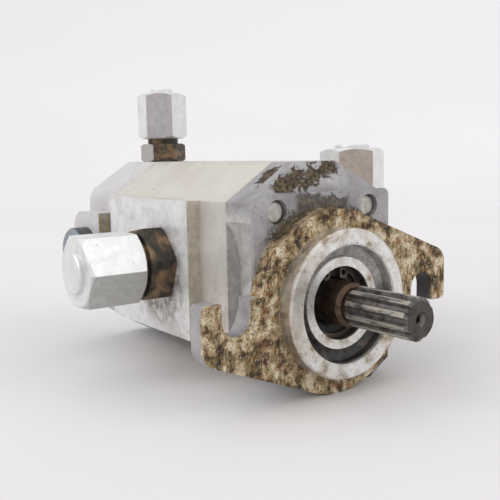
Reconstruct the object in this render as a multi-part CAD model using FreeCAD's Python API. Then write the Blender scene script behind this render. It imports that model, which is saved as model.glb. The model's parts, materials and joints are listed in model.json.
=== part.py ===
"""Hydraulic gear pump with a two-bolt open-slot flange and a splined drive shaft.

Row frame in millimetres: X to the right, Y from the shaft end to the rear, Z up.
The origin is the centre of the pilot on the mounting face, and the shaft points along -Y.
The drive gear turns about the Y axis, and the driven gear about a parallel axis above it.
"""
import FreeCAD
import Part
import math
import os

Vec = FreeCAD.Vector
CUT = 1.0  # how far a cutting tool overshoots the face it opens
Y_AXIS = Vec(0, 1, 0)
Z_AXIS = Vec(0, 0, 1)

# Flange, pilot and splined shaft end
PILOT_R = 25.4
PILOT_PROUD = 6.1
HUB_R = 31.45
FLANGE_T = 7.75
SLOT_X = 41.275
SLOT_R = 5.8
EAR_X = 53.5
EAR_Z = 5.3
EAR_FOOT = ((-53.5, -12.7), (-17.0, -27.0))
EAR_ROUND = 6.0
EAR_TIP_ROUND = 1.8
PILOT_CHAMFER = 0.8
MOAT_R = (15.6, 20.0)
MOAT_DEPTH = (4.4, 6.2)
MOAT_DRAFT = 0.3
BOSS_Y = -2.1
SHAFT_R = 7.5
SHAFT_HOLE_R = 8.5
SHAFT_TIP_Y = -36.6
LAND_CHAMFER = 1.3
SPLINE_END_Y = -8.0
SPLINE_TEETH = 10
SPLINE_R = (5.55, 6.9)
SPLINE_CHAMFER = 1.5
SPLINE_RUN_OUT = (25.5, 30.0)
TOOTH_TOP = 0.19
TOOTH_FOOT = 0.33
CENTRE_HOLE = ((-0.1, 2.6), (1.6, 1.1), (5.0, 1.1), (5.6, 0.1))

# Shaft seal and its retaining ring, both in the bore of the front cover
SEAL_BORE_R = 12.5
SEAL_BORE_END_Y = 10.2
SEAL_CASE_Y = (3.0, 8.8, 10.0)
SEAL_CASE_T = 1.2
SEAL_CASE_HOLE_R = 9.7
LIP_PROFILE = ((7.55, 5.2), (8.1, 4.0), (8.9, 3.3), (11.3, 3.3), (11.3, 4.8),
               (10.2, 5.4), (10.0, 8.4), (9.2, 8.4), (9.0, 6.4), (7.8, 6.2))
SPRING_R = (8.4, 0.5)
SPRING_Y = 6.86
SNAP_GROOVE_R = 13.1
SNAP_GROOVE_Y = (1.4, 2.7)
SNAP_RING_R = (11.0, 13.0)
SNAP_RING_Y = (1.5, 2.6)
SNAP_LUG_AT = 10.3
SNAP_LUG_R = (0.9, 2.1)
SNAP_LUG_ANGLE = math.radians(22)
SNAP_GAP = ((-2.0, 5.0), (2.0, 5.0), (2.6, 15.0), (-2.6, 15.0))

# Outline that the body and both covers share, seen along Y
HALF_W = 30.2
TOP_Z = 47.2
BOTTOM_Z = -28.0
PLATE_FOOT = ((21.0, -31.4), (30.2, -25.5))
FLAT_HALF_W = 10.5
SHOULDER_Z = (-15.1, 34.3)
FOOT_MID_X = -1.0

# Stations along Y
PLATE_Y = 6.3
JOINT_Y = 21.66
BODY_END_Y = 104.5
REAR_Y = 131.0
LEDGE_Z = 37.0
LEDGE_Y = 8.4
LEDGE_LIP_Z = 20.0
LEDGE_ROUND = 2.5
ROOF_Y = 13.0
HUB_DEEP = 1.5
WAIST_R = 35.6
WAIST_X = 60.3
WAIST_Z = 9.0

# Gears, journals and bearing blocks
CENTRES = 22.0
TEETH = 12
MODULE = CENTRES / TEETH
PRESSURE_ANGLE = math.radians(25)
TIP_R = 12.74
ROOT_R = 8.75
BACKLASH = 0.12
GEAR_L = 30.0
RUN_GAP = 0.05
SIDE_GAP = 0.05
BUSH_R = 8.5
BUSH_GAP = 0.03
BUSH_END_GAPS = (1.0, 0.4)
POCKET_Y = (18.0, 4.0)
JOURNAL_GAP = 0.5
GEAR_Y = 59.5
AXES_Z = (0.0, CENTRES)
PORT_Z = 10.4
INVOLUTE_STEPS = 7
ROOT_WIDEN = 0.02

# Oval seals in the body and in the bearing blocks: outer radius, inner radius
BODY_GROOVE_R = (16.2, 14.2)
BODY_SEAL_R = (16.1, 14.3)
BLOCK_GROOVE_R = (11.4, 9.6)
BLOCK_SEAL_R = (11.3, 10.3)
BACKUP_R = (10.25, 9.65)
SEAL_T = 1.5
BLOCK_GROOVE_T = 1.6
TRAP_R = 2.2
TRAP_X = (3.0, 14.0)

# Fasteners
BOLT_X = 20.5
BOLT_Z = (-12.0, 31.2)
BOLT_R = 4.0
BOLT_HEAD_R = 6.5
BOLT_HEAD_L = 8.0
WASHER_T = 1.6
WASHER_R = 6.8
BOLT_TIP_Y = 8.0
BOLT_CHAMFER = 0.9
BOLT_SUNK = 1.5
BOLT_TAPPED_R = 4.05
BOLT_HOLE_R = 4.3
HEAD_CHAMFER = 0.6
SOCKET_AF = 6.0
SOCKET_DEPTH = 4.0
COUNTERBORE_R = 7.0
DOWEL_R = 2.5
DOWEL_L = 16.0
DOWEL_CHAMFER = 0.5
DOWEL_FIT = 0.02
DOWELS = ((-21.0, 0.0), (21.0, CENTRES))

# Side pads and fittings
PAD_X = 35.6
PAD_Y = (38.0, 98.9)
PAD_Z = (-15.1, 34.3)
PORT_R = 11.1
PAD_ROOT_X = 24.0
PORT_DEPTH = 16.0
FLOW_R = 5.5
FLOW_END_X = 4.0
RING_SEAT_R = 12.3
RING_SEAT_T = 2.0
PORT_RING = (11.22, 0.98)
STUD_GAP = 0.05
STUD_END_X = PAD_X - 13.0
NECK_R = 10.2
COLLAR_R = 11.2
MALE_R = 10.0
WATERWAY_R = 6.2
CONE = ((-0.1, 7.6), (2.0, 6.0))
ADAPTER_AF = 25.4
ADAPTER_X = (45.2, 60.0)
CAP_AF = 24.5
CAP_L = 22.0
CAP_X = 46.3
CAP_Z = 29.4
CAP_DISC = (7.6, 1.7)
CAP_BORE_R = 10.05
CAP_CHAMFER = 0.6
CAP_END_T = 4.0
DISC_CHAMFER = 0.5
ELBOW_X = 62.5
ELBOW_R = 12.2
ELBOW_START_X = 47.5
ELBOW_TOP_Z = (28.5, 45.0)
LOCKNUT_AF = 28.6
LOCKNUT_X = (1.6, 9.2)
ELBOW_WASHER_R = 13.4
ELBOW_BORE_R = 10.25

# Rear cover, its top fitting and its side plug
REAR_ROUND = 7.0
BOSS_X = 38.3
BOSS_Z = (-9.0, 26.6)
BOSS_ROOT_X = -20.0
BOSS_ROUND = 9.0
GALLERY_R = 3.0
STUD_R = 7.1
SPOT_R = 8.4
SPOT_DEPTH = 1.6
STUD_NECK_R = 6.4
SMALL_RING = (7.35, 0.75)
RING_LIFT = 0.8
TOP_FITTING_Y = 116.5
TOP_HOLE_DEPTH = 13.0
TOP_STUD_L = 11.5
TOP_HEX_AF = 17.2
TOP_HEX_Z = 55.1
TOP_COLLAR_R = 6.7
TOP_MALE_R = 6.2
TOP_MALE_Z = 70.0
TOP_WATERWAY_R = 3.8
SMALL_CAP_AF = 18.9
SMALL_CAP_BORE_R = 6.25
SMALL_CAP_Z = (57.3, 77.2)
SMALL_DISC = (4.9, 2.0)
PLUG_Y = 117.5
PLUG_Z = 9.5
PLUG_DEPTH = 14.0
PLUG_STUD_L = 12.0
PLUG_HEAD = ((0.0, 10.6), (6.2, 10.6), (7.4, 9.4))
PLUG_SOCKET_AF = 8.0


def rod(radius, start, end):
    """Solid cylinder between two points."""
    way = Vec(*end) - Vec(*start)
    return Part.makeCylinder(radius, way.Length, Vec(*start), way)


def rod_y(radius, y0, y1, x=0.0, z=0.0):
    return rod(radius, (x, y0, z), (x, y1, z))


def tube(outer, inner, start, end):
    return rod(outer, start, end).cut(rod(inner, start, end))


def block(low, high):
    """Box between two corners."""
    size = [b - a for a, b in zip(low, high)]
    return Part.makeBox(*size, Vec(*low))


def prism_y(outline, y0, y1):
    """Straight prism along Y from an outline of (x, z) points."""
    points = [Vec(x, y0, z) for x, z in outline]
    face = Part.Face(Part.makePolygon(points + points[:1]))
    return face.extrude(Vec(0, y1 - y0, 0))


def turned(profile, place, axis):
    """Solid of revolution: the profile is (distance along the axis, radius) points."""
    points = [Vec(0, r, along) for along, r in profile]
    points = [Vec(0, 0, profile[0][0])] + points + [Vec(0, 0, profile[-1][0])]
    face = Part.Face(Part.makePolygon(points + points[:1]))
    solid = face.revolve(Vec(0, 0, 0), Z_AXIS, 360)
    solid.Placement = FreeCAD.Placement(Vec(*place), FreeCAD.Rotation(Z_AXIS, Vec(*axis)))
    return solid


def hexagon(across_flats, start, end, turn=0.0, chamfer=0.0):
    """Hexagonal bar between two points; both ends are turned down by the chamfer inside the flats."""
    way = Vec(*end) - Vec(*start)
    length = way.Length
    corner = across_flats / math.sqrt(3)
    points = []
    for k in range(6):
        angle = math.radians(60 * k + turn)
        points.append(Vec(corner * math.cos(angle), corner * math.sin(angle), 0))
    bar = Part.Face(Part.makePolygon(points + points[:1])).extrude(Vec(0, 0, length))
    rim = across_flats / 2 - chamfer
    clear = corner + CUT
    rise = (clear - rim) * math.tan(math.radians(30))
    profile = ((0, rim), (rise, clear), (length - rise, clear), (length, rim))
    bar = bar.common(turned(profile, (0, 0, 0), (0, 0, 1)))
    bar.Placement = FreeCAD.Placement(Vec(*start), FreeCAD.Rotation(Z_AXIS, way))
    return bar


def figure_eight(radius, y0, y1):
    """Two overlapping discs about the gear axes."""
    return rod_y(radius, y0, y1).fuse(rod_y(radius, y0, y1, 0, CENTRES)).removeSplitter()


def eight_ring(outer, inner, y0, y1):
    return figure_eight(outer, y0, y1).cut(figure_eight(inner, y0, y1))


def outline_points():
    """Eight corners that the body and the covers share."""
    low, high = SHOULDER_Z
    right = [(FLAT_HALF_W, BOTTOM_Z), (HALF_W, low), (HALF_W, high), (FLAT_HALF_W, TOP_Z)]
    left = [(-x, z) for x, z in reversed(right)]
    return right + left


def round_edges(solid, radius, test):
    """Fillet the edges that pass a test on their two end points."""
    edges = []
    for edge in solid.Edges:
        ends = [vertex.Point for vertex in edge.Vertexes]
        if len(ends) == 2 and test(ends[0], ends[1]):
            edges.append(edge)
    return solid.makeFillet(radius, edges)


def along_y(a, b):
    return abs(a.x - b.x) < 0.01 and abs(a.z - b.z) < 0.01


def dowel_holes(y_mid):
    """Cutting tools for the two dowel holes across one joint face."""
    half = DOWEL_L / 2 + DOWEL_CHAMFER
    return [rod_y(DOWEL_R + DOWEL_FIT, y_mid - half, y_mid + half, x, z) for x, z in DOWELS]


def cut_all(solid, tools):
    for tool in tools:
        solid = solid.cut(tool)
    return solid


# ---------------------------------------------------------------- castings and body

def ear():
    """Left mounting ear with its slot open upward."""
    inner_foot = (0.0, -20.0)
    points = list(EAR_FOOT) + [inner_foot, (0.0, EAR_Z), (-EAR_X, EAR_Z)]
    solid = prism_y(points, 0, FLANGE_T)
    outer = SLOT_R - EAR_X
    solid = round_edges(solid, EAR_ROUND, lambda a, b: along_y(a, b) and a.x < outer and a.z < 0)
    solid = round_edges(solid, EAR_TIP_ROUND, lambda a, b: along_y(a, b) and a.x < outer and a.z > 0)
    slot = rod_y(SLOT_R, -CUT, FLANGE_T + CUT, -SLOT_X, 0)
    mouth = block((-SLOT_X - SLOT_R, -CUT, 0), (-SLOT_X + SLOT_R, FLANGE_T + CUT, EAR_Z + CUT))
    return solid.cut(slot.fuse(mouth))


def cover_plate():
    """Plate of the front cover with its ledge, its sloping roof and its waisted sides."""
    outline = outline_points()
    outline[0:2] = PLATE_FOOT
    outline.append((FOOT_MID_X, PLATE_FOOT[0][1]))
    plate = prism_y(outline, PLATE_Y, JOINT_Y)
    lip = block((-HALF_W, PLATE_Y, LEDGE_LIP_Z), (HALF_W, LEDGE_Y, LEDGE_Z))
    lip = round_edges(lip, LEDGE_ROUND, lambda a, b: along_y(a, b) and a.z > LEDGE_Z - CUT)
    side = -HALF_W - CUT
    clear_z = TOP_Z + CUT
    slope = [Vec(side, PLATE_Y - CUT, LEDGE_Z), Vec(side, LEDGE_Y, LEDGE_Z), Vec(side, ROOF_Y, TOP_Z),
             Vec(side, ROOF_Y, clear_z), Vec(side, PLATE_Y - CUT, clear_z)]
    wedge = Part.Face(Part.makePolygon(slope + slope[:1])).extrude(Vec(-2 * side, 0, 0))
    waists = [rod_y(WAIST_R, FLANGE_T, JOINT_Y + CUT, x, WAIST_Z) for x in (-WAIST_X, WAIST_X)]
    return cut_all(plate.cut(wedge).fuse(lip), waists)


def moat():
    """Ring groove in the pilot face, around the boss that the shaft comes out of."""
    inner, outer = MOAT_R
    wall, floor = MOAT_DEPTH
    groove = turned(((-CUT / 2, outer + 2 * MOAT_DRAFT), (MOAT_DRAFT, outer + MOAT_DRAFT),
                     (MOAT_DRAFT, outer), (wall, outer - MOAT_DRAFT), (floor, inner)),
                    (0, -PILOT_PROUD, 0), (0, 1, 0))
    return groove.cut(rod_y(inner, BOSS_Y, CUT))


def front_cover():
    left_ear = ear()
    right_ear = left_ear.copy()
    right_ear.rotate(Vec(0, 0, 0), Y_AXIS, 180)
    flange = rod_y(HUB_R, 0, PLATE_Y + HUB_DEEP).fuse([left_ear, right_ear])
    pilot = turned(((0, PILOT_R), (PILOT_PROUD - PILOT_CHAMFER, PILOT_R),
                    (PILOT_PROUD, PILOT_R - PILOT_CHAMFER)), (0, 0, 0), (0, -1, 0))
    solid = flange.fuse([cover_plate(), pilot]).removeSplitter()

    tools = [moat(),
             rod_y(SEAL_BORE_R, BOSS_Y - CUT, SEAL_BORE_END_Y),
             rod_y(SNAP_GROOVE_R, *SNAP_GROOVE_Y),
             rod_y(SHAFT_HOLE_R, SEAL_BORE_END_Y - CUT, JOINT_Y + CUT),
             rod_y(BUSH_R, POCKET_Y[0], JOINT_Y + CUT, 0, CENTRES)]
    low, high = BOLT_Z
    for x in (-BOLT_X, BOLT_X):
        tools.append(rod_y(BOLT_TAPPED_R, -CUT, JOINT_Y + CUT, x, high))
        tools.append(rod_y(BOLT_TAPPED_R, BOLT_TIP_Y - BOLT_SUNK, JOINT_Y + CUT, x, low))
    return cut_all(solid, tools + dowel_holes(JOINT_Y))


def pump_body():
    solid = prism_y(outline_points(), JOINT_Y, BODY_END_Y)
    for side in (-1, 1):
        near, far = sorted((side * PAD_ROOT_X, side * PAD_X))
        solid = solid.fuse(block((near, PAD_Y[0], PAD_Z[0]), (far, PAD_Y[1], PAD_Z[1])))
    solid = solid.removeSplitter()
    tools = [figure_eight(TIP_R + RUN_GAP, JOINT_Y - CUT, BODY_END_Y + CUT)]
    for y0, y1 in ((JOINT_Y - CUT, JOINT_Y + SEAL_T), (BODY_END_Y - SEAL_T, BODY_END_Y + CUT)):
        tools.append(eight_ring(*BODY_GROOVE_R, y0, y1))
    for x, z in bolt_places():
        tools.append(rod_y(BOLT_HOLE_R, JOINT_Y - CUT, BODY_END_Y + CUT, x, z))
    for side in (-1, 1):
        mouth = (side * (PAD_X + CUT), GEAR_Y, PORT_Z)
        tools.append(rod(PORT_R, mouth, (side * (PAD_X - PORT_DEPTH), GEAR_Y, PORT_Z)))
        tools.append(rod(RING_SEAT_R, mouth, (side * (PAD_X - RING_SEAT_T), GEAR_Y, PORT_Z)))
        tools.append(rod(FLOW_R, mouth, (side * FLOW_END_X, GEAR_Y, PORT_Z)))
    return cut_all(solid, tools + dowel_holes(JOINT_Y) + dowel_holes(BODY_END_Y))


def rear_cover():
    def on_back(point):
        return abs(point.y - REAR_Y) < 0.01

    solid = prism_y(outline_points(), BODY_END_Y, REAR_Y)
    solid = round_edges(solid, REAR_ROUND, lambda a, b: along_y(a, b) and abs(a.x) > HALF_W - CUT)
    side_boss = block((-BOSS_X, BODY_END_Y, BOSS_Z[0]), (BOSS_ROOT_X, REAR_Y, BOSS_Z[1]))
    side_boss = round_edges(side_boss, BOSS_ROUND,
                            lambda a, b: on_back(a) and on_back(b) and abs(a.z - b.z) < 0.01 and a.z > 0)
    solid = solid.fuse(side_boss).removeSplitter()

    tools = [rod_y(BUSH_R, BODY_END_Y - CUT, BODY_END_Y + POCKET_Y[1], 0, z) for z in AXES_Z]
    for x, z in bolt_places():
        tools.append(rod_y(BOLT_HOLE_R, BODY_END_Y - CUT, REAR_Y + CUT, x, z))
        tools.append(rod_y(COUNTERBORE_R, head_start() - WASHER_T, REAR_Y + CUT, x, z))
    top = (0, TOP_FITTING_Y, TOP_Z + CUT)
    tools.append(rod(STUD_R + STUD_GAP, top, (0, TOP_FITTING_Y, TOP_Z - TOP_HOLE_DEPTH)))
    tools.append(rod(SPOT_R, top, (0, TOP_FITTING_Y, TOP_Z - SPOT_DEPTH)))
    out = (-BOSS_X - CUT, PLUG_Y, PLUG_Z)
    centre = (0, PLUG_Y, PLUG_Z)
    tools.append(rod(STUD_R + STUD_GAP, out, (-BOSS_X + PLUG_DEPTH, PLUG_Y, PLUG_Z)))
    tools.append(rod(SPOT_R, out, (-BOSS_X + SPOT_DEPTH, PLUG_Y, PLUG_Z)))
    tools.append(rod(GALLERY_R, out, centre))
    tools.append(rod(GALLERY_R, centre, (0, PLUG_Y, TOP_Z - TOP_HOLE_DEPTH + CUT)))
    return cut_all(solid, tools + dowel_holes(BODY_END_Y))


# ---------------------------------------------------------------- gears and shafts

def involute(angle):
    return math.tan(angle) - angle


def gear_profile():
    """Closed XZ wire of a spur gear with a tooth centred on +Z and involute flanks."""
    pitch_r = MODULE * TEETH / 2
    base_r = pitch_r * math.cos(PRESSURE_ANGLE)
    thickness = math.pi * MODULE / 2 - BACKLASH / 2
    half_pitch = thickness / (2 * pitch_r)

    def half_angle(radius):
        if radius <= base_r:
            return half_pitch + involute(PRESSURE_ANGLE)
        return half_pitch + involute(PRESSURE_ANGLE) - involute(math.acos(base_r / radius))

    def point(radius, angle):
        return Vec(radius * math.sin(angle), 0, radius * math.cos(angle))

    edges = []
    last = INVOLUTE_STEPS - 1
    radii = [base_r + (TIP_R - base_r) * k / last for k in range(INVOLUTE_STEPS)]
    pitch = 2 * math.pi / TEETH
    for tooth in range(TEETH):
        middle = tooth * pitch
        rising = [point(r, middle - half_angle(r)) for r in radii]
        falling = [point(r, middle + half_angle(r)) for r in reversed(radii)]
        root_in = point(ROOT_R, middle - half_angle(base_r) - ROOT_WIDEN)
        root_out = point(ROOT_R, middle + half_angle(base_r) + ROOT_WIDEN)
        next_in = point(ROOT_R, middle + pitch - half_angle(base_r) - ROOT_WIDEN)
        edges.append(Part.makeLine(root_in, rising[0]))
        for side in (rising, falling):
            curve = Part.BSplineCurve()
            curve.interpolate(side)
            if side is falling:
                edges.append(Part.Arc(rising[-1], point(TIP_R, middle), falling[0]).toShape())
            edges.append(curve.toShape())
        edges.append(Part.makeLine(falling[-1], root_out))
        between = point(ROOT_R, middle + pitch / 2)
        edges.append(Part.Arc(root_out, between, next_in).toShape())
    return Part.Wire(edges)


def gear(y0, y1, z=0.0, turn=0.0):
    solid = Part.Face(gear_profile()).extrude(Vec(0, y1 - y0, 0))
    solid.translate(Vec(0, y0, 0))
    solid.rotate(Vec(0, 0, 0), Y_AXIS, turn)
    solid.translate(Vec(0, 0, z))
    return solid


def spline_bar():
    """Splined shaft end: straight-sided teeth with a chamfered tip and a sloping run-out."""
    low, high = SPLINE_R
    pitch = 2 * math.pi / SPLINE_TEETH
    corners = ((low, -TOOTH_FOOT), (high, -TOOTH_TOP), (high, TOOTH_TOP), (low, TOOTH_FOOT))
    points = []
    for tooth in range(SPLINE_TEETH):
        for radius, part in corners:
            angle = (tooth + part) * pitch
            points.append((radius * math.sin(angle), radius * math.cos(angle)))
    end_y = SPLINE_END_Y + 2 * CUT
    bar = prism_y(points, SHAFT_TIP_Y, end_y)
    clear = high + 0.1
    run_out, run_end = SPLINE_RUN_OUT
    tip_r = high - SPLINE_CHAMFER
    profile = ((0, tip_r), (SPLINE_CHAMFER, clear), (run_out, clear), (run_end, low - 0.2))
    envelope = turned(profile, (0, SHAFT_TIP_Y, 0), (0, 1, 0))
    core = rod_y(low, SHAFT_TIP_Y + SPLINE_CHAMFER, end_y)
    return bar.common(envelope).fuse(core)


def gear_ends():
    return GEAR_Y - GEAR_L / 2, GEAR_Y + GEAR_L / 2


def drive_gear_shaft():
    y0, y1 = gear_ends()
    solid = gear(y0, y1)
    front_l = GEAR_Y - SPLINE_END_Y
    land = turned(((0, SHAFT_R - LAND_CHAMFER), (LAND_CHAMFER, SHAFT_R), (front_l, SHAFT_R)),
                  (0, SPLINE_END_Y, 0), (0, 1, 0))
    rear_journal = rod_y(SHAFT_R, GEAR_Y - CUT, BODY_END_Y - JOURNAL_GAP)
    solid = solid.fuse([land, rear_journal, spline_bar()]).removeSplitter()
    return solid.cut(turned(CENTRE_HOLE, (0, SHAFT_TIP_Y, 0), (0, 1, 0)))


def driven_gear_shaft():
    y0, y1 = gear_ends()
    half_tooth = 180.0 / TEETH
    solid = gear(y0, y1, CENTRES, half_tooth)
    journal = rod_y(SHAFT_R, JOINT_Y + JOURNAL_GAP, BODY_END_Y - JOURNAL_GAP, 0, CENTRES)
    return solid.fuse(journal).removeSplitter()


def bearing_block(front):
    """Figure-eight block with two bush bores, a seal groove outside and a trap pocket inside."""
    y0, y1 = gear_ends()
    face_y = JOINT_Y if front else BODY_END_Y
    gear_face_y = y0 - SIDE_GAP if front else y1 + SIDE_GAP
    ends = sorted((face_y, gear_face_y))
    inward = 1 if front else -1
    groove = sorted((face_y - inward * CUT, face_y + inward * BLOCK_GROOVE_T))
    tools = [rod_y(BUSH_R, ends[0] - CUT, ends[1] + CUT, 0, z) for z in AXES_Z]
    tools.append(eight_ring(*BLOCK_GROOVE_R, *groove))
    for side in (-1, 1):
        near, far = TRAP_X
        tools.append(rod(TRAP_R, (side * near, gear_face_y, PORT_Z), (side * far, gear_face_y, PORT_Z)))
    return cut_all(figure_eight(TIP_R + RUN_GAP, *ends), tools)


def bush(front, z):
    y0, y1 = gear_ends()
    outer_gap, inner_gap = BUSH_END_GAPS
    ends = (JOINT_Y + outer_gap, y0 - inner_gap) if front else (y1 + inner_gap, BODY_END_Y - outer_gap)
    return tube(BUSH_R, SHAFT_R + BUSH_GAP, (0, ends[0], z), (0, ends[1], z))


# ---------------------------------------------------------------- seals and rings

def seal_case():
    """Metal-cased lip seal body: an outer sleeve with a flat inner flange."""
    front, flange, back = SEAL_CASE_Y
    inner = SEAL_BORE_R - SEAL_CASE_T
    sleeve = tube(SEAL_BORE_R, inner, (0, front, 0), (0, back, 0))
    disc = tube(inner, SEAL_CASE_HOLE_R, (0, flange, 0), (0, back, 0))
    return sleeve.fuse(disc).removeSplitter()


def seal_lip():
    """Rubber insert: a flat ring in front and a thin lip that rides just off the shaft."""
    points = [Vec(r, y, 0) for r, y in LIP_PROFILE]
    face = Part.Face(Part.makePolygon(points + points[:1]))
    return face.revolve(Vec(0, 0, 0), Y_AXIS, 360)


def torus(size, place, axis):
    return Part.makeTorus(*size, Vec(*place), Vec(*axis))


def retaining_ring():
    """Internal ring with a gap at the top and two lugs with pliers holes."""
    y0, y1 = SNAP_RING_Y
    inner, outer = SNAP_RING_R
    hole_r, lug_r = SNAP_LUG_R
    ring = tube(outer, inner, (0, y0, 0), (0, y1, 0))
    tools = [prism_y(SNAP_GAP, y0 - CUT, y1 + CUT)]
    for angle in (-SNAP_LUG_ANGLE, SNAP_LUG_ANGLE):
        x = SNAP_LUG_AT * math.sin(angle)
        z = SNAP_LUG_AT * math.cos(angle)
        ring = ring.fuse(rod_y(lug_r, y0, y1, x, z))
        tools.append(rod_y(hole_r, y0 - CUT, y1 + CUT, x, z))
    return cut_all(ring, tools)


# ---------------------------------------------------------------- fasteners

def bolt_places():
    return [(x, z) for x in (-BOLT_X, BOLT_X) for z in BOLT_Z]


def head_start():
    """Station where the bolt heads sit on their washers."""
    return REAR_Y - BOLT_HEAD_L - BOLT_SUNK


def through_bolts():
    head_y = head_start()
    shank_l = head_y - BOLT_TIP_Y + CUT
    top_y = head_y + BOLT_HEAD_L
    shank_profile = ((0, BOLT_R - BOLT_CHAMFER), (BOLT_CHAMFER, BOLT_R), (shank_l, BOLT_R))
    head_profile = ((0, BOLT_HEAD_R), (BOLT_HEAD_L - HEAD_CHAMFER, BOLT_HEAD_R),
                    (BOLT_HEAD_L, BOLT_HEAD_R - HEAD_CHAMFER))
    bolts = []
    for x, z in bolt_places():
        shank = turned(shank_profile, (x, BOLT_TIP_Y, z), (0, 1, 0))
        head = turned(head_profile, (x, head_y, z), (0, 1, 0))
        socket = hexagon(SOCKET_AF, (x, top_y - SOCKET_DEPTH, z), (x, top_y + 2 * CUT, z))
        bolts.append(shank.fuse(head).removeSplitter().cut(socket))
    return Part.makeCompound(bolts)


def bolt_washers():
    y1 = head_start()
    rings = [tube(WASHER_R, BOLT_R + 0.2, (x, y1 - WASHER_T, z), (x, y1, z)) for x, z in bolt_places()]
    return Part.makeCompound(rings)


def dowel_pins():
    profile = ((0, DOWEL_R - DOWEL_CHAMFER), (DOWEL_CHAMFER, DOWEL_R),
               (DOWEL_L - DOWEL_CHAMFER, DOWEL_R), (DOWEL_L, DOWEL_R - DOWEL_CHAMFER))
    pins = []
    for y_mid in (JOINT_Y, BODY_END_Y):
        for x, z in DOWELS:
            pins.append(turned(profile, (x, y_mid - DOWEL_L / 2, z), (0, 1, 0)))
    return Part.makeCompound(pins)


# ---------------------------------------------------------------- fittings

def cap_nut(across_flats, length, bore_r, start, way, disc, turn):
    """Blind hexagonal cap: start is its open end, and way points to its closed end."""
    base = Vec(*start)
    unit = Vec(*way)
    end = base + unit * length
    solid = hexagon(across_flats, tuple(base), tuple(end), turn, CAP_CHAMFER)
    disc_r, disc_t = disc
    profile = ((-CUT, disc_r), (disc_t - DISC_CHAMFER, disc_r), (disc_t, disc_r - DISC_CHAMFER))
    solid = solid.fuse(turned(profile, tuple(end), way)).removeSplitter()
    return solid.cut(rod(bore_r, tuple(base - unit), tuple(base + unit * (length - CAP_END_T))))


def left_port_adapter():
    """Straight adapter: stud in the body port, hexagon, collar and a male end under the cap."""
    def at(x):
        return (-x, GEAR_Y, PORT_Z)

    hex_end, male_end = ADAPTER_X
    seat = PAD_X - RING_SEAT_T
    pieces = [rod(PORT_R - STUD_GAP, at(seat), at(STUD_END_X)),
              rod(NECK_R, at(PAD_X + CUT), at(seat - CUT)),
              hexagon(ADAPTER_AF, at(PAD_X), at(hex_end), 41),
              rod(COLLAR_R, at(hex_end - CUT), at(CAP_X - 0.3)),
              rod(MALE_R, at(CAP_X - CUT), at(male_end))]
    solid = pieces[0].fuse(pieces[1:]).removeSplitter()
    solid = solid.cut(rod(WATERWAY_R, at(STUD_END_X - CUT), at(male_end + CUT)))
    return solid.cut(turned(CONE, at(male_end), (1, 0, 0)))


def right_port_elbow():
    """Forged 90 degree elbow: stud in the body port, and a male end pointing up."""
    def at(x):
        return (x, GEAR_Y, PORT_Z)

    def up(z):
        return (ELBOW_X, GEAR_Y, z)

    shoulder_z, male_z = ELBOW_TOP_Z
    seat = PAD_X - RING_SEAT_T
    pieces = [rod(PORT_R - STUD_GAP, at(seat), at(STUD_END_X)),
              rod(NECK_R, at(seat - CUT), at(ELBOW_START_X + CUT)),
              rod(ELBOW_R, at(ELBOW_START_X), at(ELBOW_X)),
              Part.makeSphere(ELBOW_R, Vec(*at(ELBOW_X))),
              rod(ELBOW_R, up(PORT_Z), up(shoulder_z)),
              rod(COLLAR_R, up(shoulder_z - CUT), up(CAP_Z - 0.3)),
              rod(MALE_R, up(CAP_Z - CUT), up(male_z))]
    solid = pieces[0].fuse(pieces[1:]).removeSplitter()
    along = rod(WATERWAY_R, at(STUD_END_X - CUT), at(ELBOW_X))
    upward = rod(WATERWAY_R, up(PORT_Z), up(male_z + CUT))
    return cut_all(solid, [along, upward])


def right_elbow_locknut():
    near, far = [PAD_X + x for x in LOCKNUT_X]
    nut = hexagon(LOCKNUT_AF, (near, GEAR_Y, PORT_Z), (far, GEAR_Y, PORT_Z), 30)
    return nut.cut(rod(ELBOW_BORE_R, (near - CUT, GEAR_Y, PORT_Z), (far + CUT, GEAR_Y, PORT_Z)))


def right_elbow_washer():
    end = PAD_X + LOCKNUT_X[0]
    return tube(ELBOW_WASHER_R, ELBOW_BORE_R, (PAD_X, GEAR_Y, PORT_Z), (end, GEAR_Y, PORT_Z))


def port_oring(side):
    return torus(PORT_RING, (side * (PAD_X - RING_SEAT_T / 2), GEAR_Y, PORT_Z), (1, 0, 0))


def right_cap_nut():
    return cap_nut(CAP_AF, CAP_L, CAP_BORE_R, (ELBOW_X, GEAR_Y, CAP_Z), (0, 0, 1), CAP_DISC, 25)


def left_cap_nut():
    return cap_nut(CAP_AF, CAP_L, CAP_BORE_R, (-CAP_X, GEAR_Y, PORT_Z), (-1, 0, 0), CAP_DISC, 30)


def top_port_adapter():
    def at(z):
        return (0, TOP_FITTING_Y, z)

    cap_z = SMALL_CAP_Z[0]
    pieces = [rod(STUD_R, at(TOP_Z - TOP_STUD_L), at(TOP_Z - SPOT_DEPTH)),
              rod(STUD_NECK_R, at(TOP_Z - SPOT_DEPTH - CUT), at(TOP_Z + CUT)),
              hexagon(TOP_HEX_AF, at(TOP_Z), at(TOP_HEX_Z), 33),
              rod(TOP_COLLAR_R, at(TOP_HEX_Z - CUT), at(cap_z - 0.1)),
              rod(TOP_MALE_R, at(cap_z - CUT), at(TOP_MALE_Z))]
    solid = pieces[0].fuse(pieces[1:]).removeSplitter()
    return solid.cut(rod(TOP_WATERWAY_R, at(TOP_Z - TOP_STUD_L - CUT), at(TOP_MALE_Z + CUT)))


def top_cap_nut():
    low, high = SMALL_CAP_Z
    start = (0, TOP_FITTING_Y, low)
    return cap_nut(SMALL_CAP_AF, high - low, SMALL_CAP_BORE_R, start, (0, 0, 1), SMALL_DISC, 23)


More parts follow.
